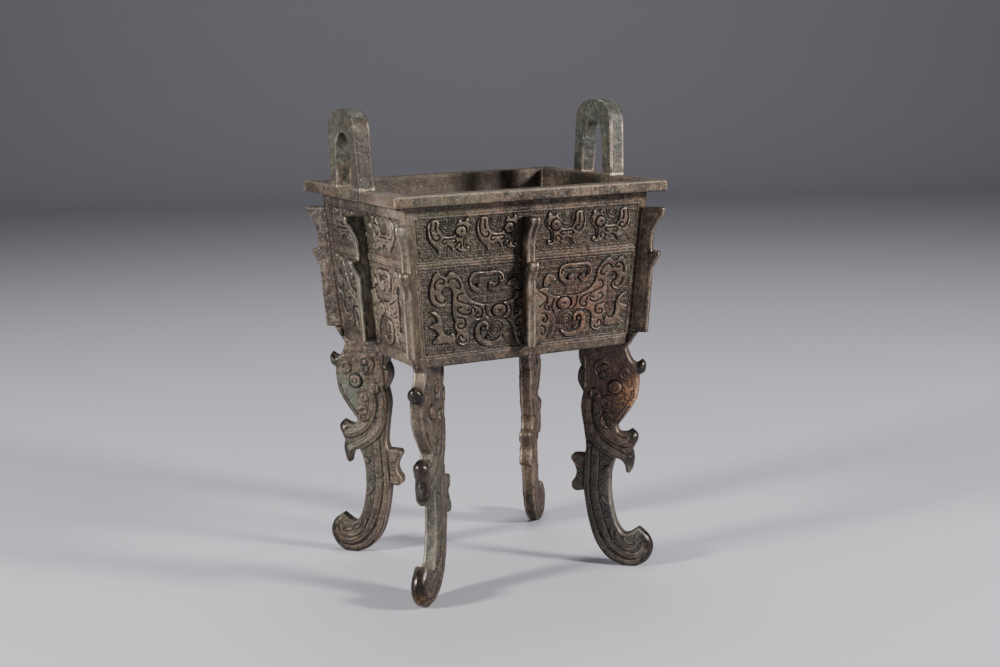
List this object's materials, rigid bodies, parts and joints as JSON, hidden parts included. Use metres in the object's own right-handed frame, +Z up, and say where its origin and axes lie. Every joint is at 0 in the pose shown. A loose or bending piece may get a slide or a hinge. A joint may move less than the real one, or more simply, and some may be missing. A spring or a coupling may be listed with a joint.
{
  "type": "square bronze ding",
  "caption": "Box-shaped cast bronze ritual vessel on flat dragon-shaped legs, with upright loop handles, hooked flanges and relief masks and dragons",
  "frame": {"origin": "on the floor under the centre of the vessel", "axes": "+X along the long sides, +Y to the back, +Z up"},
  "size_m": [0.1692, 0.1432, 0.2688],
  "materials": {
    "cast_bronze": "old cast bronze with a dark grey-brown patina, grey-green and reddish patches, and worn warmer edges"
  },
  "bodies": {
    "root": {"bronze_ding": "cast_bronze"}
  },
  "joints": []
}
